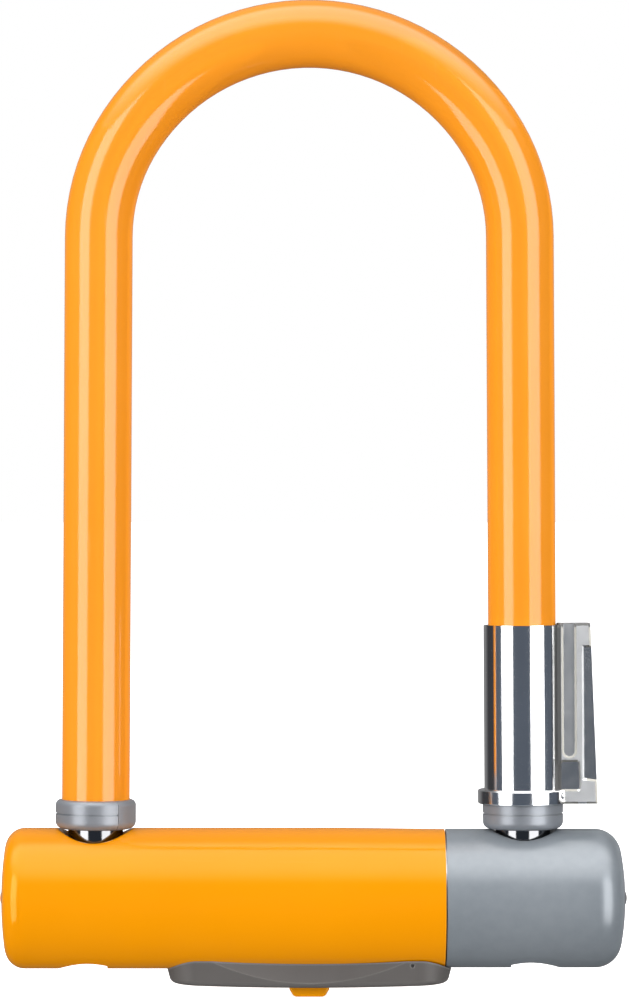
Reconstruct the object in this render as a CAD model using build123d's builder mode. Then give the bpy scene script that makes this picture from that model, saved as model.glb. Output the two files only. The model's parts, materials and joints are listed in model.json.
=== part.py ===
from build123d import *
import math
import os

# A compact bicycle U-lock, standing on its crossbar with the loop upright. Millimetres.
#
# +Z runs up the loop, +X towards the leg that carries the bracket sleeve, and +Y to the back.
# The origin lies on the crossbar's axis, midway between the legs, where the key's axis crosses it.
# The lock is closed but unlocked: both feet are home in their sockets and both bolts are drawn back.

# ---- Loop: one bent steel bar in a vinyl jacket ----------------------------------------------------

loop_height = 200.0  # from the crossbar's axis up to the crown's centreline
crown_radius = 49.3
crown_half_angle = 60.0
shoulder_radius = 45.0
leg_splay = 0.3  # degrees that each leg leans outwards on its way down
bar_radius = 6.35
jacket_radius = 7.85
foot_depth = 10.0
foot_chamfer = 1.0
glue_gap = 0.02

# ---- Collars at the jacket's ends ------------------------------------------------------------------

collar_radius = 9.3
collar_bottom = 16.1
collar_top = 22.9
collar_rounding = 1.3
collar_foot_rounding = 1.8
collar_bore = 6.4
collar_seat = 19.5  # height of the step that the jacket's end stands on
seat_radius = 7.9
groove_height = 19.7
groove_width = 0.4
groove_depth = 0.35
clip_angle = 105.0
clip_seam = 0.8  # degrees left open on each side of the clip

# ---- Bracket sleeve on the right leg ---------------------------------------------------------------

liner_bottom = 23.2
liner_lip = 0.5
liner_lip_radius = 9.2
liner_bore = 7.92
liner_radius = 8.15
sleeve_bottom = 22.0
sleeve_seat = 23.75  # the flange's recess takes the collar's top and the liner's lip
sleeve_seat_radius = 9.45
sleeve_top = 63.2
sleeve_bore = 8.2
sleeve_radius = 8.9
flange_radius = 10.4
flange_top = 25.2
rim_chamfer = 0.2

wing_half = 4.2
wing_reach_bottom = 17.1
wing_reach_top = 15.6
wing_top = 63.6
bevel_width = 0.5
bevel_depth = 0.25
channel_reach = 10.6
channel_half = 1.75
channel_end = 32.5
channel_depth = 0.7
pocket_depth = 0.5
pocket_top = 32.2
pocket_shoulder = 29.6
pocket_bottom = 24.9
pocket_near = 7.7
pocket_far = 13.4
pocket_lean = 0.3
pocket_slant = 1.0
pocket_rounding = 0.9
panel_depth = 0.35
panel_inner = 13.6
panel_bottom = 27.5
panel_slope = 0.9
panel_top = 58.6
stud_radius = 0.5
stud_dimple = 0.75
stud_angle = -30.5
stud_height = 23.9

# ---- Crossbar --------------------------------------------------------------------------------------

cover_end = 71.1
cover_radius = 16.25
cover_joint = 31.25
cover_joint_radius = 15.95
cover_taper_start = 8.0
cover_dome = 85.0
cover_corner = 4.5
cap_end = 73.0
cap_radius = 16.0
cap_joint = 31.55
cap_dome = 60.0
cap_corner = 6.0
shell_bore = 14.65
shell_floor = 67.0  # inner face of both closed ends, from the middle
cover_leg_hole = 7.7
cover_hole_rounding = 1.3
cap_leg_hole = 7.0
cap_hole_rounding = 0.8
drain_radius = 7.4
drain_shift = 1.45
drain_flat = 3.0

tube_radius = 14.55
tube_bore = 12.3
tube_half = 66.5
tube_leg_hole = 7.0
insert_radius = 12.25  # everything that slides into the tube
insert_gap = 0.1
tube_drain = 5.0

plug_inner = 62.5
plug_outer = 66.4
rivet_radius = 1.4
rivet_head_radius = 1.7
rivet_head_height = 0.45
pin_fit = 0.05

socket_inner = 39.5
socket_bore = 6.75
socket_floor = -10.6
socket_drain = 3.5
guide_inner = 21.0
guide_bore = 4.28
pin_radius = 1.2
pin_half = 11.2
guide_pin_x = 30.0
guide_pin_z = 8.0
housing_pin_x = 7.6
housing_pin_z = -8.0

# ---- Bolts -----------------------------------------------------------------------------------------

crank_radius = 3.6  # of the two drive pins about the key's axis
drive_pin_radius = 1.2
bolt_radius = 4.2
bolt_tip = 42.45
bolt_root = 12.0
tail_half_height = 1.6
tail_start = 15.5
tail_inner = 0.4
tail_outer = 6.6
tail_wall = 1.85
yoke_play = 0.3
notch_depth_x = 48.0
notch_half_height = 4.8

# ---- Lock cylinder ---------------------------------------------------------------------------------

housing_radius = 8.0
housing_top = -2.0
nose_radius = 6.6
nose_bottom = -17.4
nose_hole = 6.7
cylinder_bore = 5.55
lip_bore = 4.8
lip_height = 0.8
core_radius = 5.5
core_top = -5.0
core_step = 0.1
core_nose_radius = 4.7
core_bore = 4.4
core_floor = 1.6
keyway_length = 6.4
keyway_width = 2.2
disc_radius = 4.3
disc_slot_length = 5.4
disc_count = 6
disc_thickness = 1.0
spacer_thickness = 0.3
spacer_bore = 3.5
guard_thickness = 1.4
stack_gap = 0.02
sidebar_width = 1.6
sidebar_length = 7.0
cam_radius = 5.3
cam_top = -3.1
cam_boss_radius = 4.3
drive_pin_top = 1.4
clip_inner = 5.0
clip_outer = 6.0
clip_bottom = -3.0
clip_top = -2.4
clip_opening = 60.0

# ---- Keyway plate and sliding dust cover -----------------------------------------------------------

plate_half_length = 33.5
plate_half_width = 8.9
plate_corner = 8.2
plate_top = -13.7  # the plate's length and width are those at this height
plate_bottom = -20.1
plate_crown = 0.8  # the plate's bottom rises this much towards its ends
plate_draft = 15.0
plate_edge = 1.6
plate_gap = 0.05
scoop_radius = 185.0
scoop_near = 7.5  # each hollow's nearest distance from the middle plane
peg_x = 28.2  # the plate's two pegs are pressed into the crossbar's tube
peg_radius = 1.6
peg_top = -12.6
dimple_x = 23.7
dimple_z = -14.7
dimple_radius = 0.45
dimple_depth = 1.0

slider_top = -17.6
slider_bottom = -18.6
slider_left = -6.0
slider_right = 15.6
slider_half_width = 5.0
slider_travel = 9.5
slider_play = 0.3
rail_left = 8.0
rail_width = 0.9
rail_top = -15.9
window_half_width = 3.2
tab_half_length = 4.6
tab_shoulder = -20.9
tab_foot_half = 3.6
tab_bottom = -22.6
tab_half_width = 2.8
tab_rounding = 1.3
tab_edge = 0.7

# ---- Places worked out from the dimensions ---------------------------------------------------------

splay = math.radians(leg_splay)
shoulder_shift = crown_radius - shoulder_radius
shoulder_turn = 90 - leg_splay - crown_half_angle
shoulder_x = shoulder_shift * math.sin(math.radians(crown_half_angle)) + shoulder_radius * math.cos(splay)
shoulder_z = (
    loop_height
    - crown_radius
    + shoulder_shift * math.cos(math.radians(crown_half_angle))
    + shoulder_radius * math.sin(splay)
)
leg_x = shoulder_x + shoulder_z * math.tan(splay)

# Each leg's plane stands on the crossbar's axis: its z runs up the leg and its x towards +X.
left_leg = Plane(
    origin=(-leg_x, 0, 0),
    x_dir=(math.cos(splay), 0, -math.sin(splay)),
    z_dir=(math.sin(splay), 0, math.cos(splay)),
)
right_leg = Plane(
    origin=(leg_x, 0, 0),
    x_dir=(math.cos(splay), 0, math.sin(splay)),
    z_dir=(-math.sin(splay), 0, math.cos(splay)),
)

os.makedirs("parts", exist_ok=True)


def save(piece, label):
    """Label a finished piece and write its STEP file."""
    piece.part.label = label
    export_step(piece.part, f"parts/{label}.step")


def leg_axis(leg):
    return Axis(leg.origin, leg.z_dir)


def section_plane(leg, angle=0):
    """Plane through a leg's axis: x runs out from the axis at an angle, y runs up the leg."""
    outward = leg.x_dir.rotate(leg_axis(leg), angle)
    return Plane(origin=leg.origin, x_dir=outward, z_dir=outward.cross(leg.z_dir))


# ---- Loop ------------------------------------------------------------------------------------------


def loop_path(height):
    """The loop's centreline, which starts and ends on the legs at a height above the crossbar's axis."""
    with BuildLine(Plane.XZ) as path:
        rise = Line(left_leg.offset(height).origin, (-shoulder_x, shoulder_z))
        left_shoulder = JernArc(rise @ 1, rise % 1, shoulder_radius, -shoulder_turn)
        crown = JernArc(left_shoulder @ 1, left_shoulder % 1, crown_radius, -2 * crown_half_angle)
        right_shoulder = JernArc(crown @ 1, crown % 1, shoulder_radius, -shoulder_turn)
        Line(right_shoulder @ 1, right_leg.offset(height).origin)
    return path.line


bar_path = loop_path(-foot_depth)
jacket_foot = collar_seat + glue_gap
jacket_path = loop_path(jacket_foot)

# The bar's feet are notched on their inner sides, where the bolts enter.
with BuildPart() as shackle_bar:
    with BuildSketch(left_leg.offset(-foot_depth)):
        Circle(bar_radius)
    sweep(path=bar_path)
    chamfer(shackle_bar.edges().filter_by(GeomType.CIRCLE).group_by(Axis.Z)[0], foot_chamfer)
    Box(2 * notch_depth_x, 4 * bar_radius, 2 * notch_half_height, mode=Mode.SUBTRACT)
save(shackle_bar, "shackle_bar")

with BuildPart() as shackle_jacket:
    with BuildSketch(left_leg.offset(jacket_foot)):
        Circle(jacket_radius)
        Circle(bar_radius + glue_gap, mode=Mode.SUBTRACT)
    sweep(path=jacket_path)
save(shackle_jacket, "shackle_jacket")


# ---- Collars ---------------------------------------------------------------------------------------


def collar_piece(leg, start_angle, arc, grooved):
    """One arc of a collar: a rounded ring with a step inside that takes the jacket's end."""
    with BuildPart() as piece:
        with BuildSketch(section_plane(leg, start_angle)) as wall:
            with BuildLine():
                Polyline(
                    (collar_bore, collar_bottom),
                    (collar_radius, collar_bottom),
                    (collar_radius, collar_top),
                    (seat_radius, collar_top),
                    (seat_radius, collar_seat),
                    (collar_bore, collar_seat),
                    close=True,
                )
            make_face()
            for corner_height, rounding in (
                (collar_bottom, collar_foot_rounding),
                (collar_top, collar_rounding),
            ):
                fillet(wall.vertices().sort_by_distance((collar_radius, corner_height))[0], rounding)
            if grooved:
                with Locations((collar_radius, groove_height)):
                    Rectangle(2 * groove_depth, groove_width, mode=Mode.SUBTRACT)
        revolve(axis=leg_axis(leg), revolution_arc=arc)
    return piece


# The left collar's clip faces the other leg, and the right collar's clip faces the back.
for side, leg, clip_middle in (("left", left_leg, 0), ("right", right_leg, 90)):
    clip_start = clip_middle - clip_angle / 2
    clip_arc = clip_angle - clip_seam
    ring = collar_piece(leg, clip_start + clip_angle, 360 - clip_angle - clip_seam, grooved=True)
    save(ring, f"{side}_collar")
    clip = collar_piece(leg, clip_start, clip_arc, grooved=False)
    save(clip, f"{side}_collar_clip")

# ---- Bracket sleeve --------------------------------------------------------------------------------

sleeve_section = section_plane(right_leg)
wing_bevel = math.degrees(math.atan(bevel_width / bevel_depth))
pocket_taper = math.degrees(math.atan(bevel_width / pocket_depth))
panel_taper = math.degrees(math.atan(bevel_width / panel_depth))
stud_place = section_plane(right_leg, stud_angle).from_local_coords((flange_radius, stud_height, 0))

with BuildPart() as sleeve_liner:
    with BuildSketch(sleeve_section):
        with BuildLine():
            Polyline(
                (liner_bore, liner_bottom),
                (liner_lip_radius, liner_bottom),
                (liner_lip_radius, liner_bottom + liner_lip),
                (liner_radius, liner_bottom + liner_lip),
                (liner_radius, sleeve_top),
                (liner_bore, sleeve_top),
                close=True,
            )
        make_face()
    revolve(axis=leg_axis(right_leg))
save(sleeve_liner, "sleeve_liner")

with BuildPart() as bracket_sleeve:
    with BuildSketch(sleeve_section) as turned_body:
        with BuildLine():
            Polyline(
                (0, sleeve_bottom),
                (flange_radius, sleeve_bottom),
                (flange_radius, flange_top),
                (sleeve_radius, flange_top),
                (sleeve_radius, sleeve_top),
                (0, sleeve_top),
                close=True,
            )
        make_face()
        chamfer(turned_body.vertices().group_by(Axis.X)[-1], rim_chamfer)
        fillet(turned_body.vertices().sort_by_distance((sleeve_radius, flange_top))[0], rim_chamfer)
    revolve(axis=leg_axis(right_leg))
    # The wing's faces are bevelled all round.
    for face in (-1, 1):
        for start, amount, taper in (
            (0, wing_half - bevel_depth, 0),
            (wing_half - bevel_depth, bevel_depth, wing_bevel),
        ):
            with BuildSketch(sleeve_section.offset(face * start)):
                with BuildLine():
                    Polyline(
                        (0, sleeve_bottom),
                        (wing_reach_bottom, sleeve_bottom),
                        (wing_reach_top, wing_top),
                        (sleeve_bore, wing_top),
                        (sleeve_bore, sleeve_top),
                        (0, sleeve_top),
                        close=True,
                    )
                make_face()
            extrude(amount=face * amount, taper=taper)
    with BuildSketch(right_leg):
        Circle(sleeve_bore)
    extrude(amount=2 * sleeve_top, mode=Mode.SUBTRACT)
    with BuildSketch(right_leg):
        Circle(sleeve_seat_radius)
    extrude(amount=sleeve_seat, mode=Mode.SUBTRACT)
    # Both faces of the wing carry the same round-ended channel, latch pocket and sunken panel.
    for face in (-1, 1):
        wing_face = sleeve_section.offset(face * wing_half)
        for inset, depth, taper in ((0, bevel_depth, wing_bevel), (bevel_width, channel_depth, 0)):
            with BuildSketch(wing_face):
                with Locations((channel_reach, channel_end + channel_half)):
                    Circle(channel_half - inset)
                with Locations((channel_reach, channel_end + channel_half + wing_top / 2)):
                    Rectangle(2 * (channel_half - inset), wing_top)
            extrude(amount=-face * depth, taper=taper, mode=Mode.SUBTRACT)
        with BuildSketch(wing_face) as pocket:
            with BuildLine():
                Polyline(
                    (pocket_near + pocket_slant, pocket_top),
                    (pocket_far - pocket_lean, pocket_top),
                    (pocket_far, pocket_bottom),
                    (pocket_near, pocket_bottom),
                    (pocket_near - pocket_lean, pocket_shoulder),
                    close=True,
                )
            make_face()
            fillet(pocket.vertices(), pocket_rounding)
        extrude(amount=-face * pocket_depth, taper=pocket_taper, mode=Mode.SUBTRACT)
        with BuildSketch(wing_face):
            with BuildLine():
                Polyline(
                    (panel_inner, panel_bottom),
                    (2 * wing_reach_bottom - panel_inner, panel_bottom - panel_slope),
                    (2 * wing_reach_bottom - panel_inner, panel_top),
                    (panel_inner, panel_top),
                    close=True,
                )
            make_face()
        extrude(amount=-face * panel_depth, taper=panel_taper, mode=Mode.SUBTRACT)
    with Locations(stud_place):
        Sphere(stud_dimple, mode=Mode.SUBTRACT)
save(bracket_sleeve, "bracket_sleeve")

with BuildPart() as sleeve_stud:
    with Locations(stud_place):
        Sphere(stud_radius)
save(sleeve_stud, "sleeve_stud")

# ---- Crossbar shells -------------------------------------------------------------------------------


def dome_line(side, end, dome_radius, radius):
    """Half the outline of a shallow dome across the X axis, from its top out to a radius."""
    points = []
    for turn in (0, math.asin(radius / dome_radius) / 2, math.asin(radius / dome_radius)):
        points.append((side * (end - dome_radius * (1 - math.cos(turn))), dome_radius * math.sin(turn)))
    return ThreePointArc(*points)


def crossbar_shell(
    side, end, radius, joint, joint_radius, taper_start, dome_radius, corner, leg_hole, hole_rounding
):
    """A cup over one end of the crossbar's tube, with a domed end and holes for the leg and for water."""
    with BuildPart() as shell:
        with BuildSketch() as section:
            with BuildLine():
                dome = dome_line(side, end, dome_radius, radius)
                Polyline(
                    dome @ 1,
                    (taper_start, radius),
                    (joint, joint_radius),
                    (joint, shell_bore),
                    (side * shell_floor, shell_bore),
                    (side * shell_floor, 0),
                    (side * end, 0),
                )
            make_face()
            fillet(section.vertices().sort_by_distance(dome @ 1)[0], corner)
        revolve(axis=Axis.X)
        with BuildSketch(Plane.XY):
            with Locations((side * leg_x, 0)):
                Circle(leg_hole)
        extrude(amount=2 * radius, mode=Mode.SUBTRACT)
        fillet(shell.edges(Select.LAST).sort_by(Axis.Z)[-1], hole_rounding)
        # The drain hole has a flat side towards the middle.
        with BuildSketch(Plane.XY.offset(-2 * radius)):
            with Locations((side * (leg_x + drain_shift), 0)):
                Circle(drain_radius)
            with Locations((side * (leg_x - drain_flat - drain_radius), 0)):
                Rectangle(2 * drain_radius, 3 * drain_radius, mode=Mode.SUBTRACT)
        extrude(amount=radius + drain_radius, mode=Mode.SUBTRACT)
        with BuildSketch(Plane.YZ.offset(side * shell_floor)):
            Circle(rivet_radius + pin_fit)
        extrude(amount=side * end, mode=Mode.SUBTRACT)
    return shell.part


with BuildPart() as crossbar_cover:
    add(
        crossbar_shell(
            side=-1,
            end=cover_end,
            radius=cover_radius,
            joint=cover_joint,
            joint_radius=cover_joint_radius,
            taper_start=cover_taper_start,
            dome_radius=cover_dome,
            corner=cover_corner,
            leg_hole=cover_leg_hole,
            hole_rounding=cover_hole_rounding,
        )
    )
    with BuildSketch():
        Circle(nose_hole)
        with Locations((-peg_x, 0), (peg_x, 0)):
            Circle(peg_radius + pin_fit)
    extrude(amount=-2 * cover_radius, mode=Mode.SUBTRACT)
save(crossbar_cover, "crossbar_cover")

with BuildPart() as crossbar_end_cap:
    add(
        crossbar_shell(
            side=1,
            end=cap_end,
            radius=cap_radius,
            joint=cap_joint,
            joint_radius=cap_radius,
            taper_start=leg_x,
            dome_radius=cap_dome,
            corner=cap_corner,
            leg_hole=cap_leg_hole,
            hole_rounding=cap_hole_rounding,
        )
    )
save(crossbar_end_cap, "crossbar_end_cap")

# ---- Crossbar tube and what is pinned inside it ----------------------------------------------------

pin_places = [
    (side * x, z)
    for side in (-1, 1)
    for x, z in ((guide_pin_x, guide_pin_z), (housing_pin_x, housing_pin_z))
]

with BuildPart() as crossbar_tube:
    with BuildSketch(Plane.YZ):
        Circle(tube_radius)
        Circle(tube_bore, mode=Mode.SUBTRACT)
    extrude(amount=tube_half, both=True)
    with BuildSketch():
        with Locations((-leg_x, 0), (leg_x, 0)):
            Circle(tube_leg_hole)
    extrude(amount=2 * tube_radius, mode=Mode.SUBTRACT)
    with BuildSketch():
        Circle(nose_hole)
        with Locations((-leg_x, 0), (leg_x, 0)):
            Circle(tube_drain)
        with Locations((-peg_x, 0), (peg_x, 0)):
            Circle(peg_radius + pin_fit)
    extrude(amount=-2 * tube_radius, mode=Mode.SUBTRACT)
    with BuildSketch(Plane.XZ):
        with Locations(*pin_places):
            Circle(pin_radius + pin_fit)
    extrude(amount=tube_radius, both=True, mode=Mode.SUBTRACT)
save(crossbar_tube, "crossbar_tube")

with BuildPart() as retaining_pins:
    with BuildSketch(Plane.XZ):
        with Locations(*pin_places):
            Circle(pin_radius)
    extrude(amount=pin_half, both=True)
save(retaining_pins, "retaining_pins")

for side, word in ((-1, "left"), (1, "right")):
    with BuildPart() as end_plug:
        with BuildSketch(Plane.YZ.offset(side * plug_inner)):
            Circle(insert_radius)
            Circle(rivet_radius + pin_fit, mode=Mode.SUBTRACT)
        extrude(amount=side * (plug_outer - plug_inner))
    save(end_plug, f"{word}_end_plug")

    with BuildPart() as foot_socket:
        with BuildSketch(Plane.YZ.offset(side * socket_inner)):
            Circle(insert_radius)
        extrude(amount=side * (plug_inner - insert_gap - socket_inner))
        with BuildSketch(Plane.XY.offset(socket_floor)):
            with Locations((side * leg_x, 0)):
                Circle(socket_bore)
        extrude(amount=2 * insert_radius, mode=Mode.SUBTRACT)
        with BuildSketch():
            with Locations((side * leg_x, 0)):
                Circle(socket_drain)
        extrude(amount=-2 * insert_radius, mode=Mode.SUBTRACT)
        with BuildSketch(Plane.YZ.offset(side * socket_inner)):
            Circle(guide_bore)
        extrude(amount=side * (leg_x - socket_inner), mode=Mode.SUBTRACT)
    save(foot_socket, f"{word}_foot_socket")

    with BuildPart() as bolt_guide:
        with BuildSketch(Plane.YZ.offset(side * guide_inner)):
            Circle(insert_radius)
            Circle(guide_bore, mode=Mode.SUBTRACT)
        extrude(amount=side * (socket_inner - insert_gap - guide_inner))
        with BuildSketch(Plane.XZ):
            with Locations(*pin_places):
                Circle(pin_radius + pin_fit)
        extrude(amount=tube_radius, both=True, mode=Mode.SUBTRACT)
    save(bolt_guide, f"{word}_bolt_guide")

rivet_dome = (rivet_head_radius**2 + rivet_head_height**2) / (2 * rivet_head_height)

for side, word, end in ((-1, "left", cover_end + pin_fit), (1, "right", cap_end + pin_fit)):
    with BuildPart() as end_rivet:
        with BuildSketch():
            with BuildLine():
                dome_line(side, end + rivet_head_height, rivet_dome, rivet_head_radius)
                Polyline(
                    (side * end, rivet_head_radius),
                    (side * end, rivet_radius),
                    (side * plug_inner, rivet_radius),
                    (side * plug_inner, 0),
                    (side * (end + rivet_head_height), 0),
                )
            make_face()
        revolve(axis=Axis.X)
    save(end_rivet, f"{word}_end_rivet")

# ---- Deadbolts -------------------------------------------------------------------------------------

# Each bolt's flat tail reaches past the key's axis and is slotted for one of the two drive pins.
drive_pin_x = crank_radius * math.cos(math.radians(45))
slot_half = drive_pin_radius + yoke_play
slot_near = drive_pin_x - slot_half
slot_far = crank_radius + slot_half
tail_end = drive_pin_x + slot_half + tail_wall

for side, word in ((-1, "left"), (1, "right")):
    with BuildPart() as deadbolt:
        with BuildSketch(Plane.YZ.offset(side * bolt_root)):
            Circle(bolt_radius)
        extrude(amount=side * (bolt_tip - bolt_root))
        chamfer(deadbolt.edges().group_by(Axis.X)[-1 if side > 0 else 0], rim_chamfer)
        with BuildSketch():
            with Locations((side * (tail_start - tail_end) / 2, -side * (tail_inner + tail_outer) / 2)):
                Rectangle(tail_start + tail_end, tail_outer - tail_inner)
            with Locations((-side * drive_pin_x, -side * (slot_near + slot_far) / 2)):
                Rectangle(2 * slot_half, slot_far - slot_near, mode=Mode.SUBTRACT)
        extrude(amount=tail_half_height, both=True)
    save(deadbolt, f"{word}_deadbolt")

# ---- Lock cylinder ---------------------------------------------------------------------------------

core_bottom = nose_bottom + core_step
core_shoulder = nose_bottom + lip_height + core_step
core_floor_top = core_bottom + core_floor
stack_start = core_floor_top + stack_gap
disc_pitch = disc_thickness + spacer_thickness + 2 * stack_gap
first_disc = stack_start + guard_thickness + stack_gap
stack_top = first_disc + disc_count * disc_pitch
cam_bottom = core_top + core_step / 2
sidebar_bottom = first_disc
sidebar_middle = (core_bore + core_radius) / 2

with BuildPart() as cylinder_housing:
    with BuildSketch(Plane.XY.offset(-tube_bore)):
        Circle(housing_radius)
    extrude(amount=housing_top + tube_bore)
    with BuildSketch(Plane.YZ):
        Circle(insert_radius)
    extrude(amount=2 * housing_radius, both=True, mode=Mode.INTERSECT)
    with BuildSketch(Plane.XY.offset(nose_bottom)):
        Circle(nose_radius)
    extrude(amount=housing_top - nose_bottom)
    with BuildSketch(Plane.XY.offset(nose_bottom)):
        Circle(lip_bore)
    extrude(amount=housing_top - nose_bottom, mode=Mode.SUBTRACT)
    with BuildSketch(Plane.XY.offset(nose_bottom + lip_height)):
        Circle(cylinder_bore)
        with Locations((0, cylinder_bore)):
            Circle(sidebar_width / 2)
    extrude(amount=housing_top - nose_bottom, mode=Mode.SUBTRACT)
    with BuildSketch(Plane.XY.offset(clip_bottom - pin_fit)):
        Circle(clip_outer + pin_fit)
    extrude(amount=clip_top - clip_bottom + 2 * pin_fit, mode=Mode.SUBTRACT)
    with BuildSketch(Plane.XZ):
        with Locations(*pin_places):
            Circle(pin_radius + pin_fit)
    extrude(amount=tube_radius, both=True, mode=Mode.SUBTRACT)
save(cylinder_housing, "cylinder_housing")

with BuildPart() as cylinder_core:
    with BuildSketch(Plane.XY.offset(core_bottom)):
        Circle(core_nose_radius)
    extrude(amount=core_floor)
    with BuildSketch(Plane.XY.offset(core_shoulder)):
        Circle(core_radius)
    extrude(amount=core_top - core_shoulder)
    with BuildSketch(Plane.XY.offset(core_floor_top)):
        Circle(core_bore)
    extrude(amount=core_top - core_floor_top, mode=Mode.SUBTRACT)
    with BuildSketch(Plane.XY.offset(core_bottom)):
        Rectangle(keyway_length, keyway_width)
    extrude(amount=core_floor, mode=Mode.SUBTRACT)
    with BuildSketch(Plane.XY.offset(sidebar_bottom - pin_fit)):
        with Locations((0, core_radius)):
            Rectangle(sidebar_width + 2 * pin_fit, 4 * (core_radius - core_bore))
    extrude(amount=sidebar_length + 2 * pin_fit, mode=Mode.SUBTRACT)
save(cylinder_core, "cylinder_core")

with BuildPart() as sidebar:
    with BuildSketch(Plane.XY.offset(sidebar_bottom)):
        with Locations((0, sidebar_middle)):
            Rectangle(sidebar_width, core_radius - core_bore - 2 * pin_fit)
    extrude(amount=sidebar_length)
save(sidebar, "sidebar")


def slotted_disc(bottom, thickness, slot_length):
    """A disc of the core's stack, with a slot for the key's blade."""
    with BuildPart() as disc:
        with BuildSketch(Plane.XY.offset(bottom)):
            Circle(disc_radius)
            Rectangle(slot_length, keyway_width, mode=Mode.SUBTRACT)
        extrude(amount=thickness)
    return disc.part


disc_bottoms = [first_disc + index * disc_pitch for index in range(disc_count)]

with BuildPart() as anti_drill_disc:
    add(slotted_disc(stack_start, guard_thickness, keyway_length))
save(anti_drill_disc, "anti_drill_disc")

with BuildPart() as lock_discs:
    for bottom in disc_bottoms:
        add(slotted_disc(bottom, disc_thickness, disc_slot_length))
save(lock_discs, "lock_discs")

with BuildPart() as disc_spacers:
    for bottom in disc_bottoms:
        with BuildSketch(Plane.XY.offset(bottom + disc_thickness + stack_gap)):
            Circle(disc_radius)
            Circle(spacer_bore, mode=Mode.SUBTRACT)
        extrude(amount=spacer_thickness)
save(disc_spacers, "disc_spacers")

drive_pin_places = [(drive_pin_x, drive_pin_x), (-drive_pin_x, -drive_pin_x)]

with BuildPart() as drive_cam:
    with BuildSketch(Plane.XY.offset(stack_top)):
        Circle(cam_boss_radius)
    extrude(amount=cam_bottom - stack_top)
    with BuildSketch(Plane.XY.offset(cam_bottom)):
        Circle(cam_radius)
    extrude(amount=cam_top - cam_bottom)
    with BuildSketch(Plane.XY.offset(cam_bottom)):
        with Locations(*drive_pin_places):
            Circle(drive_pin_radius + glue_gap)
    extrude(amount=cam_top - cam_bottom, mode=Mode.SUBTRACT)
save(drive_cam, "drive_cam")

with BuildPart() as drive_pins:
    with BuildSketch(Plane.XY.offset(cam_bottom + glue_gap)):
        with Locations(*drive_pin_places):
            Circle(drive_pin_radius)
    extrude(amount=drive_pin_top - cam_bottom)
save(drive_pins, "drive_pins")

with BuildPart() as cylinder_clip:
    with BuildSketch(Plane.XY.offset(clip_bottom)):
        Circle(clip_outer)
        Circle(clip_inner, mode=Mode.SUBTRACT)
        with BuildLine():
            Polyline(
                (0, 0),
                (2 * clip_outer, 2 * clip_outer * math.tan(math.radians(clip_opening / 2))),
                (2 * clip_outer, -2 * clip_outer * math.tan(math.radians(clip_opening / 2))),
                close=True,
            )
        make_face(mode=Mode.SUBTRACT)
    extrude(amount=clip_top - clip_bottom)
save(cylinder_clip, "cylinder_clip")

# ---- Keyway plate and sliding dust cover -----------------------------------------------------------

plate_end_z = plate_bottom + plate_crown
pocket_floor = slider_bottom - slider_play / 2
pocket_left = slider_left - slider_play
pocket_right = slider_right + slider_travel + slider_play
rail_right = slider_right - tab_edge
rail_centre = (rail_left + rail_right) / 2
rail_middle = slider_half_width - rail_width / 2
window_left = -tab_half_length - slider_play
window_right = tab_half_length + slider_travel + slider_play

with BuildPart() as keyway_plate:
    with BuildSketch(Plane.XZ):
        with BuildLine():
            crown = ThreePointArc(
                (-plate_half_length, plate_end_z), (0, plate_bottom), (plate_half_length, plate_end_z)
            )
            Polyline(crown @ 1, (plate_half_length, plate_top), (-plate_half_length, plate_top), crown @ 0)
        make_face()
    extrude(amount=2 * plate_half_width, both=True)
    with BuildSketch(Plane.XY.offset(plate_top)):
        RectangleRounded(2 * plate_half_length, 2 * plate_half_width, plate_corner)
    extrude(amount=2 * (plate_bottom - plate_top), taper=plate_draft, mode=Mode.INTERSECT)
    fillet(keyway_plate.faces().sort_by(Axis.Z)[0].edges(), plate_edge)
    # A shallow hollow along the front and the back leaves a curved ridge.
    with BuildSketch(Plane.XY.offset(plate_bottom)):
        with Locations((0, -scoop_near - scoop_radius), (0, scoop_near + scoop_radius)):
            Circle(scoop_radius)
    extrude(amount=plate_top - plate_bottom, mode=Mode.SUBTRACT)
    with BuildSketch(Plane.YZ):
        Circle(cover_radius + plate_gap)
    extrude(amount=plate_half_length, both=True, mode=Mode.SUBTRACT)
    with BuildSketch(Plane.XY.offset(slider_top)):
        with Locations((-peg_x, 0), (peg_x, 0)):
            Circle(peg_radius)
    extrude(amount=peg_top - slider_top)
    with BuildSketch(Plane.XY.offset(pocket_floor)):
        with Locations(((pocket_left + pocket_right) / 2, 0)):
            Rectangle(pocket_right - pocket_left, 2 * (slider_half_width + slider_play / 2))
    extrude(amount=plate_top - pocket_floor, mode=Mode.SUBTRACT)
    with BuildSketch(Plane.XY.offset(slider_top)):
        Circle(nose_hole)
    extrude(amount=plate_top - slider_top, mode=Mode.SUBTRACT)
    with BuildSketch(Plane.XY.offset(pocket_floor)):
        with Locations(((window_left + window_right) / 2, 0)):
            Rectangle(window_right - window_left, 2 * window_half_width)
    extrude(amount=2 * (plate_bottom - pocket_floor), mode=Mode.SUBTRACT)
    with BuildSketch(Plane.XZ.offset(plate_half_width)):
        with Locations((dimple_x, dimple_z)):
            Circle(dimple_radius)
    extrude(amount=-dimple_depth, mode=Mode.SUBTRACT)
save(keyway_plate, "keyway_plate")

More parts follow.
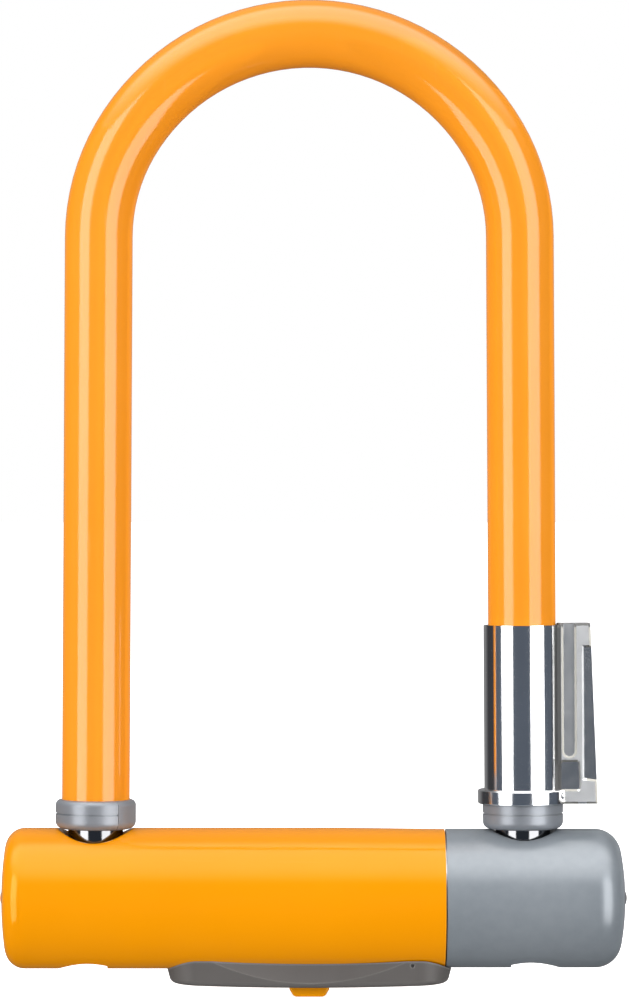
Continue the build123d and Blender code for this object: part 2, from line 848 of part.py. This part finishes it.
with BuildPart() as dust_cover:
    with BuildSketch(Plane.XY.offset(slider_bottom)):
        with Locations(((slider_left + slider_right) / 2, 0)):
            RectangleRounded(slider_right - slider_left, 2 * slider_half_width, tab_edge)
    extrude(amount=slider_top - slider_bottom)
    with BuildSketch(Plane.XY.offset(slider_top)):
        with Locations((rail_centre, -rail_middle), (rail_centre, rail_middle)):
            Rectangle(rail_right - rail_left, rail_width)
    extrude(amount=rail_top - slider_top)
    with BuildSketch(Plane.XZ) as tab:
        with BuildLine():
            Polyline(
                (-tab_half_length, slider_top),
                (-tab_half_length, tab_shoulder),
                (-tab_foot_half, tab_bottom),
                (tab_foot_half, tab_bottom),
                (tab_half_length, tab_shoulder),
                (tab_half_length, slider_top),
                close=True,
            )
        make_face()
        fillet(tab.vertices().group_by(Axis.Y)[0], tab_rounding)
    extrude(amount=tab_half_width, both=True)
    tab_faces = dust_cover.faces().filter_by(Axis.Y)
    fillet(tab_faces.edges().filter_by_position(Axis.Z, tab_bottom, plate_bottom), tab_edge)
save(dust_cover, "dust_cover")
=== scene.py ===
import json
import math

import bpy
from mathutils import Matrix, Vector


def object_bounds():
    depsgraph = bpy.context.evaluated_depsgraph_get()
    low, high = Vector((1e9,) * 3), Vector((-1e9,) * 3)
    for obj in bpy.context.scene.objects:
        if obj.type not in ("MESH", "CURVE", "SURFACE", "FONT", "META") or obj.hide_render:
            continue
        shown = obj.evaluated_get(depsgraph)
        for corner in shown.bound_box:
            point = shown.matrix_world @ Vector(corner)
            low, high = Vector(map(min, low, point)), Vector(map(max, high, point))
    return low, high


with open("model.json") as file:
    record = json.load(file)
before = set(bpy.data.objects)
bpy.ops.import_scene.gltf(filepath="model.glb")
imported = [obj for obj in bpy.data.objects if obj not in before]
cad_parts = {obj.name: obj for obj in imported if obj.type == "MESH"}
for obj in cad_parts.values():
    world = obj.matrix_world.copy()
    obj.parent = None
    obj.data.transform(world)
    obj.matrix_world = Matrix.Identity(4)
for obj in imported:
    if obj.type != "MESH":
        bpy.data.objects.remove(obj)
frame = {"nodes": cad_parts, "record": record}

BOX_AT_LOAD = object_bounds()
LOW, HIGH = BOX_AT_LOAD
NODES = frame["nodes"]
RECORD = frame["record"]
JOINTS = {joint["name"]: joint for joint in RECORD["behaviour"]["joints"]}
MOUNTS = {mount["name"]: mount for mount in RECORD["mounts"]}
SCENE = bpy.context.scene
MM = 0.001
# Most values of a noise pattern lie between these two.
NOISE_LOW, NOISE_HIGH = 0.3, 0.7

# ---- Node helpers --------------------------------------------------------------------------------


class Nodes:
    """A node tree, with short calls that add nodes and link them."""

    def __init__(self, tree):
        self.tree = tree
        tree.nodes.clear()

    def add(self, kind, **settings):
        node = self.tree.nodes.new(kind)
        for key, value in settings.items():
            setattr(node, key, value)
        return node

    def link(self, source, target):
        self.tree.links.new(source, target)

    def feed(self, socket, value):
        """Links a socket to a source, or sets it to a number, a vector or a colour."""
        if isinstance(value, bpy.types.NodeSocket):
            self.link(value, socket)
        elif isinstance(value, tuple) and socket.type == "RGBA":
            socket.default_value = (*value, 1)
        else:
            socket.default_value = value

    def split(self, vector):
        node = self.add("ShaderNodeSeparateXYZ")
        self.link(vector, node.inputs[0])
        return node.outputs

    def math(self, operation, a, b=0.0):
        node = self.add("ShaderNodeMath", operation=operation)
        self.feed(node.inputs[0], a)
        self.feed(node.inputs[1], b)
        return node.outputs[0]

    def mix(self, factor, a, b, blend="MIX"):
        """Mixes two colours. The node keeps them in its sockets 6 and 7."""
        node = self.add("ShaderNodeMix", data_type="RGBA", blend_type=blend)
        self.feed(node.inputs[0], factor)
        self.feed(node.inputs[6], a)
        self.feed(node.inputs[7], b)
        return node.outputs[2]

    def span(self, source, low, high, to_low=0.0, to_high=1.0, curve="LINEAR"):
        """Maps a value from one range to another."""
        node = self.add("ShaderNodeMapRange", interpolation_type=curve)
        limits = {"From Min": low, "From Max": high, "To Min": to_low, "To Max": to_high}
        for socket, value in limits.items():
            self.feed(node.inputs[socket], value)
        self.link(source, node.inputs["Value"])
        return node.outputs["Result"]

    def band(self, source, low, high):
        """1 between two values and 0 outside them."""
        above = self.math("GREATER_THAN", source, low)
        return self.math("MULTIPLY", above, self.math("LESS_THAN", source, high))

    def ramp(self, source, *stops, curve="LINEAR"):
        """A colour ramp through (position, colour or grey) stops."""
        node = self.add("ShaderNodeValToRGB")
        node.color_ramp.interpolation = curve
        elements = node.color_ramp.elements
        while len(elements) < len(stops):
            elements.new(1.0)
        for element, (position, value) in zip(elements, stops):
            element.position = position
            colour = value if isinstance(value, tuple) else (value, value, value)
            element.color = (*colour, 1)
        self.link(source, node.inputs["Fac"])
        return node.outputs["Color"]


class Shader(Nodes):
    """A new material with its Principled shader, patterned by the object's own coordinates.
    The keywords are that shader's sockets, with _ for a space."""

    def __init__(self, name, **sockets):
        self.material = bpy.data.materials.new(name)
        self.material.use_nodes = True
        super().__init__(self.material.node_tree)
        self.principled = self.add("ShaderNodeBsdfPrincipled")
        output = self.add("ShaderNodeOutputMaterial")
        self.link(self.principled.outputs[0], output.inputs["Surface"])
        for socket, value in sockets.items():
            self.principled.inputs[socket.replace("_", " ")].default_value = value
        own = self.add("ShaderNodeTexCoord").outputs
        self.place, self.facing = own["Object"], own["Normal"]

    def set(self, socket, source):
        self.link(source, self.principled.inputs[socket])

    def stretched(self, scale):
        """The object's own coordinates, multiplied along each axis."""
        mapping = self.add("ShaderNodeMapping")
        mapping.inputs["Scale"].default_value = scale
        self.link(self.place, mapping.inputs["Vector"])
        return mapping.outputs["Vector"]

    def noise(self, scale, detail=3.0, rough=0.5, stretch=None):
        node = self.add("ShaderNodeTexNoise")
        node.inputs["Scale"].default_value = scale
        node.inputs["Detail"].default_value = detail
        node.inputs["Roughness"].default_value = rough
        self.link(self.stretched(stretch) if stretch else self.place, node.inputs["Vector"])
        return node.outputs["Fac"]

    def uneven(self, pattern, low, high):
        """A number that a noise pattern moves between two others."""
        return self.span(pattern, NOISE_LOW, NOISE_HIGH, low, high)

    def clouded(self, scale, dark, pale, detail=4.0):
        """A colour or grey that drifts between two others."""
        return self.ramp(self.noise(scale, detail), (NOISE_LOW, dark), (NOISE_HIGH, pale))

    def wear_and_highlight(self, colour, where, share, rubbed):
        """A colour that partly gives way to another: rubbed wear, and on the plate a painted
        highlight.
        """
        return self.mix(self.math("MULTIPLY", where, share), colour, rubbed)

    def bump(self, height, distance, strength, normal=None):
        node = self.add("ShaderNodeBump")
        node.inputs["Strength"].default_value = strength
        node.inputs["Distance"].default_value = distance
        self.link(height, node.inputs["Height"])
        if normal:
            self.link(normal, node.inputs["Normal"])
        return node.outputs["Normal"]

    def edges(self, radius, sharp=0.75):
        """0 on flat stretches and towards 1 along edges."""
        bevel = self.add("ShaderNodeBevel", samples=4)
        bevel.inputs["Radius"].default_value = radius
        dot = self.add("ShaderNodeVectorMath", operation="DOT_PRODUCT")
        self.link(bevel.outputs["Normal"], dot.inputs[0])
        self.link(self.add("ShaderNodeNewGeometry").outputs["Normal"], dot.inputs[1])
        return self.span(dot.outputs["Value"], 1.0, sharp)

    def blend(self, factor, a, b):
        """A number between two others."""
        node = self.add("ShaderNodeMix", data_type="FLOAT")
        for socket, value in zip(node.inputs, (factor, None, a, b)):
            if value is not None:
                self.feed(socket, value)
        return node.outputs[0]

    def scratches(self, scale, stretch, cut=0.7):
        """1 in thin streaks, along the axis that the stretch draws out, and 0 elsewhere."""
        return self.span(self.noise(scale, 2, 0.5, stretch), cut, cut + 0.06)


# ---- Materials -----------------------------------------------------------------------------------


def orange_vinyl():
    """Smooth dipped vinyl jacket: a slow ripple, faint clouding and fine scuffs along the legs."""
    s = Shader("orange_vinyl")
    tone = s.clouded(28, (0.85, 0.285, 0.012), (0.89, 0.305, 0.016))
    rub = s.scratches(700, (1, 1, 0.06))
    s.set("Base Color", s.wear_and_highlight(tone, rub, 0.12, (0.85, 0.38, 0.06)))
    haze = s.span(s.noise(420, 5, 0.6, (1, 1, 0.15)), NOISE_LOW, 0.75, 0.11, 0.17)
    s.set("Roughness", s.math("ADD", haze, s.math("MULTIPLY", rub, 0.09)))
    ripple = s.bump(s.noise(60, 2), 0.1 * MM, 0.35)
    s.set("Normal", s.bump(s.noise(900, 2), 0.008 * MM, 0.4, ripple))
    return s.material


def orange_shell():
    """Moulded orange shell: faint orange peel, dull marks along the crossbar and paler edges."""
    s = Shader("orange_shell", Specular_IOR_Level=0.4, Specular_Tint=(1, 1, 0.4, 1))
    tone = s.clouded(22, (0.82, 0.285, 0.0), (0.86, 0.305, 0.0))
    rub = s.scratches(500, (0.05, 1, 1), 0.72)
    scuffed = s.wear_and_highlight(tone, rub, 0.15, (0.8, 0.36, 0.05))
    s.set("Base Color", s.wear_and_highlight(scuffed, s.edges(0.6 * MM), 0.35, (0.84, 0.38, 0.06)))
    haze = s.span(s.noise(300, 6, 0.65, (0.2, 1, 1)), NOISE_LOW, 0.75, 0.12, 0.2)
    s.set("Roughness", s.math("ADD", haze, s.math("MULTIPLY", rub, 0.06)))
    s.set("Normal", s.bump(s.noise(1000, 2), 0.008 * MM, 0.4))
    return s.material


def grey_shell():
    """Silver-grey paint over the moulded end cap: slow clouding, a fine flake and slight waves."""
    s = Shader("grey_shell", Metallic=0.12, Specular_IOR_Level=0.75)
    tone = s.clouded(26, (0.195, 0.22, 0.245), (0.22, 0.245, 0.27))
    flake = s.ramp(s.noise(420, 4), (0.35, 0.97), (0.65, 1.03))
    s.set("Base Color", s.mix(1.0, tone, flake, "MULTIPLY"))
    s.set("Roughness", s.uneven(s.noise(90, 3), 0.285, 0.34))
    s.set("Normal", s.bump(s.noise(70, 2), 0.05 * MM, 0.3))
    return s.material


def collar_grey():
    """Grey painted collar with a soft metallic tone, rubbed along its edges."""
    s = Shader("collar_grey", Metallic=0.28, Specular_IOR_Level=0.4)
    tone = s.clouded(120, (0.225, 0.24, 0.265), (0.248, 0.264, 0.29), detail=3)
    s.set("Base Color", s.wear_and_highlight(tone, s.edges(0.5 * MM), 0.4, (0.32, 0.33, 0.34)))
    s.set("Roughness", s.uneven(s.noise(160, 2), 0.32, 0.36))
    s.set("Normal", s.bump(s.noise(90, 2), 0.03 * MM, 0.3))
    return s.material


def sleeve_place(s):
    """Where a point is on the bracket's sleeve: how far out from the leg's axis, how far from the
    wing's middle plane, how high, and how squarely it faces the way that the wing does."""
    leg = JOINTS["bracket_turn"]
    lean = leg["axis"][0] / leg["axis"][2]
    x, y, z = s.split(s.place)
    axis_here = s.math("MULTIPLY", z, lean)
    across = s.math("SUBTRACT", s.math("SUBTRACT", x, leg["pos_m"][0]), axis_here)
    facing = s.math("ABSOLUTE", s.split(s.facing)[1])
    return across, s.math("ABSOLUTE", y), z, facing


def polished_alloy():
    """Drawn alloy: the sleeve's tube is polished bright, and its wing has satin faces."""
    s = Shader("polished_alloy", Metallic=1.0)
    across, depth, height, facing = sleeve_place(s)
    wing_face = abs(MOUNTS["rail_face"]["pos_m"][1])
    wing_top = max(corner[2] for corner in NODES["bracket_sleeve"].bound_box)
    # Out from the leg's axis come the wing's root, the wing, and the inner wall of its panel.
    root_near, wing_near, blur = 6.9 * MM, 8.75 * MM, 0.05 * MM
    panel_wall_near, panel_wall_far = 12.5 * MM, 14.5 * MM

    past_root = s.span(across, wing_near - blur, wing_near + blur)
    between_faces = s.span(depth, wing_face + 0.15 * MM, wing_face + 0.1 * MM)
    wing = s.math("MULTIPLY", past_root, between_faces)

    # The stops are in millimetres above the channel's level. They give the roughness of the
    # channel, of the pocket and panel, of the slopes, and of the proud faces.
    channel = wing_face - 0.8 * MM
    levels = (0.0, 0.31), (0.2, 0.22), (0.57, 0.34), (0.77, 0.4)
    finish = s.ramp(s.span(depth, channel, channel + 1.0 * MM), *levels, curve="CONSTANT")
    finish = s.blend(s.span(facing, 0.2, 0.4), 0.32, finish)
    satin = s.math("ADD", finish, s.uneven(s.noise(500, 4), -0.02, 0.04))
    lines = s.noise(900, 4, 0.6, (1, 1, 0.02))
    bright = s.uneven(lines, 0.07, 0.15)

    # The wing's slopes are dull, but for the panel's inner one, and darkened with painted shade
    # that dims their highlights. Its root and top edge are darkened with painted shade.
    slopes = s.math("MULTIPLY", s.band(facing, 0.3, 0.93), wing)
    panel_wall = s.band(across, panel_wall_near, panel_wall_far)
    dull = s.math("MULTIPLY", slopes, s.math("SUBTRACT", 1.0, panel_wall))
    root_shade_band = s.band(across, root_near, wing_near)
    root = s.math("MULTIPLY", root_shade_band, s.math("LESS_THAN", depth, wing_face + 1.1 * MM))
    top_edge_shade = s.math("MULTIPLY", slopes, s.math("GREATER_THAN", height, wing_top - 0.88 * MM))
    dark = s.math("MAXIMUM", root, top_edge_shade)

    rough = s.blend(wing, bright, satin)
    s.set("Roughness", s.blend(s.math("MAXIMUM", dull, dark), rough, 0.6))
    bare = s.clouded(80, (0.84, 0.845, 0.85), (0.9, 0.905, 0.91), detail=3)
    alloy = s.mix(wing, bare, s.mix(1.0, bare, (0.88, 0.875, 0.865), "MULTIPLY"))
    # Painted shade: the dull slopes get a darker colour, which dims their highlights.
    slope_shaded_alloy = s.mix(dull, alloy, (0.36, 0.35, 0.32))
    # Painted shade: the wing's root, where it meets the tube, and its top edge are darkened.
    s.set("Base Color", s.mix(dark, slope_shaded_alloy, (0.13, 0.13, 0.128)))
    s.set("Normal", s.bump(lines, 0.008 * MM, 0.5))
    return s.material


def metal(name, tint, rough_low, rough_high, grain=None, relief=0.006):
    """Bare or plated metal with a slow change of tone. A grain stretches its finer pattern."""
    s = Shader(name, Metallic=1.0)
    s.set("Base Color", s.clouded(90, tuple(0.9 * c for c in tint), tint))
    s.set("Roughness", s.uneven(s.noise(300, 4, 0.5, grain), rough_low, rough_high))
    s.set("Normal", s.bump(s.noise(900, 3, 0.5, grain), relief * MM, 0.5))
    return s.material


def plate_grey():
    """Warm grey moulded plate with a fine matt texture. Its edges and front ridge are paler:
    painted highlight.
    """
    s = Shader("plate_grey")
    grain = s.noise(1500, 4, 0.6)
    tone = s.clouded(60, (0.099, 0.092, 0.088), (0.114, 0.107, 0.102))
    # Painted highlight: a paler line along the plate's edges and the ridge on its front.
    edges = s.edges(0.5 * MM, sharp=0.98)
    s.set("Base Color", s.wear_and_highlight(tone, edges, 0.6, (0.27, 0.26, 0.25)))
    s.set("Roughness", s.uneven(grain, 0.36, 0.5))
    s.set("Normal", s.bump(grain, 0.015 * MM, 0.6))
    return s.material


def liner_black():
    """Matt black moulded liner. Its black lip between the sleeve's flange and the collar is also
    painted shadow.
    """
    s = Shader("liner_black")
    s.set("Base Color", s.clouded(200, 0.012, 0.02, detail=3))
    s.set("Roughness", s.uneven(s.noise(600, 3), 0.42, 0.6))
    s.set("Normal", s.bump(s.noise(1500, 3), 0.01 * MM, 0.5))
    return s.material


MATERIALS = {
    "orange_vinyl": orange_vinyl(),
    "orange_shell": orange_shell(),
    "grey_shell": grey_shell(),
    "collar_grey": collar_grey(),
    "polished_alloy": polished_alloy(),
    "plate_grey": plate_grey(),
    "liner_black": liner_black(),
    # The hardened steel is darkened: painted shade, for the shackle's feet that sit deep in the
    # crossbar's holes.
    "hardened_steel": metal("hardened_steel", (0.2, 0.2, 0.205), 0.06, 0.14),
    "plated_steel": metal("plated_steel", (0.82, 0.82, 0.83), 0.1, 0.2),
    "tube_steel": metal("tube_steel", (0.5, 0.51, 0.52), 0.28, 0.45, grain=(0.1, 1, 1)),
    "rivet_steel": metal("rivet_steel", (0.6, 0.6, 0.6), 0.28, 0.38),
    "cast_zinc": metal("cast_zinc", (0.55, 0.56, 0.57), 0.35, 0.6, relief=0.02),
    "brass": metal("brass", (0.72, 0.55, 0.25), 0.28, 0.38),
}
for part in RECORD["subparts"]:
    materials = NODES[part["node"]].data.materials
    materials.clear()
    materials.append(MATERIALS[part["material_slot"]])

# ---- Floor, light and camera ---------------------------------------------------------------------


def floor(side, drop, glow):
    """A pale floor just under the object. Its own glow keeps the shadow on it faint."""
    mesh = bpy.data.meshes.new("floor")
    level = LOW.z - drop
    corners = [(x * side, y * side, level) for x, y in ((-1, -1), (1, -1), (1, 1), (-1, 1))]
    mesh.from_pydata(corners, [], [(0, 1, 2, 3)])
    piece = bpy.data.objects.new("floor", mesh)
    SCENE.collection.objects.link(piece)
    light = {"Emission_Color": (1, 1, 1, 1), "Emission_Strength": glow}
    s = Shader("floor", Roughness=0.9, Specular_IOR_Level=0.0, **light)
    s.set("Base Color", s.clouded(3, 0.88, 0.9, detail=3))
    mesh.materials.append(s.material)
    piece.visible_glossy = False
    piece.visible_diffuse = False


def softbox(name, lights, azimuth, size, radiance, elevation=0.0, distance=1.6):
    """A rectangular lamp that faces the object, seen in its gloss or lighting its body colours.
    Azimuth 0 is the camera's side, and +90 is +X."""
    a, e = math.radians(azimuth), math.radians(elevation)
    away = Vector((math.sin(a) * math.cos(e), -math.cos(a) * math.cos(e), math.sin(e)))
    lamp = bpy.data.lights.new(name, "AREA")
    lamp.shape = "RECTANGLE"
    lamp.size, lamp.size_y = size
    lamp.energy = radiance * math.pi * size[0] * size[1]
    piece = bpy.data.objects.new(name, lamp)
    piece.location = (LOW + HIGH) / 2 + away * distance
    piece.rotation_euler = away.to_track_quat("Z", "Y").to_euler()
    piece.visible_camera = False
    piece.visible_glossy = lights == "gloss"
    piece.visible_diffuse = lights == "body"
    SCENE.collection.objects.link(piece)


def surround(ceiling_light, floor_share, fill_low, fill_high):
    """White to the camera, an even fill on surfaces, and a grey room in reflections."""
    made = bpy.data.worlds.new("studio")
    made.use_nodes = True
    made.cycles.sampling_method = "NONE"
    w = Nodes(made.node_tree)
    _, y, z = w.split(w.add("ShaderNodeTexCoord").outputs["Generated"])
    rays = w.add("ShaderNodeLightPath").outputs

    # The room is slate on the camera's side, darker at the sides and hazy behind the object.
    slate, shade, haze = (0.1, 0.118, 0.15), (0.05, 0.05, 0.055), (0.24, 0.24, 0.245)
    depths = (0.0, slate), (0.52, slate), (0.6, shade), (0.8, shade), (0.93, haze)
    room = w.ramp(w.span(y, -1.0, 1.0), *depths)

    # The ceiling is bright from halfway up to just past the zenith. The room dims downwards.
    high = w.span(z, 0.45, 0.86, curve="SMOOTHSTEP")
    front = w.span(y, 0.05, 0.4, 1.0, 0.1, curve="SMOOTHSTEP")
    gloss = w.mix(w.math("MULTIPLY", high, front), room, (ceiling_light,) * 3)
    dim = w.span(z, -0.45, 0.0, floor_share, 1.0, curve="SMOOTHSTEP")
    gloss = w.mix(1.0, gloss, dim, "MULTIPLY")
    fill = w.span(z, -0.8, 0.2, fill_low, fill_high, curve="SMOOTHSTEP")

    shades = w.mix(rays["Is Diffuse Ray"], gloss, fill)
    backdrop = w.add("ShaderNodeBackground")
    w.link(w.mix(rays["Is Camera Ray"], shades, (1.0, 1.0, 1.0)), backdrop.inputs["Color"])
    w.link(backdrop.outputs[0], w.add("ShaderNodeOutputWorld").inputs["Surface"])
    SCENE.world = made


def camera(distance, x, height, frame_height):
    """A level camera in front of the object. It sees frame_height at the object's middle plane."""
    data = bpy.data.cameras.new("camera")
    data.sensor_width = 36.0
    data.lens = data.sensor_width * distance / frame_height
    data.clip_start, data.clip_end = 0.01, 50
    piece = bpy.data.objects.new("camera", data)
    piece.location = (x, -distance, height)
    piece.rotation_euler = (math.pi / 2, 0, 0)
    SCENE.collection.objects.link(piece)
    SCENE.camera = piece


floor(side=20.0, drop=0.1 * MM, glow=0.9)
# Each side box is two lamps in one place, so that its reflections and its light are set apart.
for lights, bright in (("gloss", 5.2), ("body", 5.8)):
    softbox(f"left_box_{lights}", lights, azimuth=-47.5, size=(0.98, 2.0), radiance=bright)
    softbox(f"right_box_{lights}", lights, azimuth=45.5, size=(1.2, 2.0), radiance=0.95 * bright)
softbox("top_box", "body", azimuth=0, size=(1.8, 1.7), radiance=0.6, elevation=77)
surround(ceiling_light=4.0, floor_share=0.3, fill_low=0.64, fill_high=0.78)
camera(distance=0.95, x=0.0012, height=0.0921, frame_height=0.23144)
SCENE.view_settings.view_transform = "Standard"
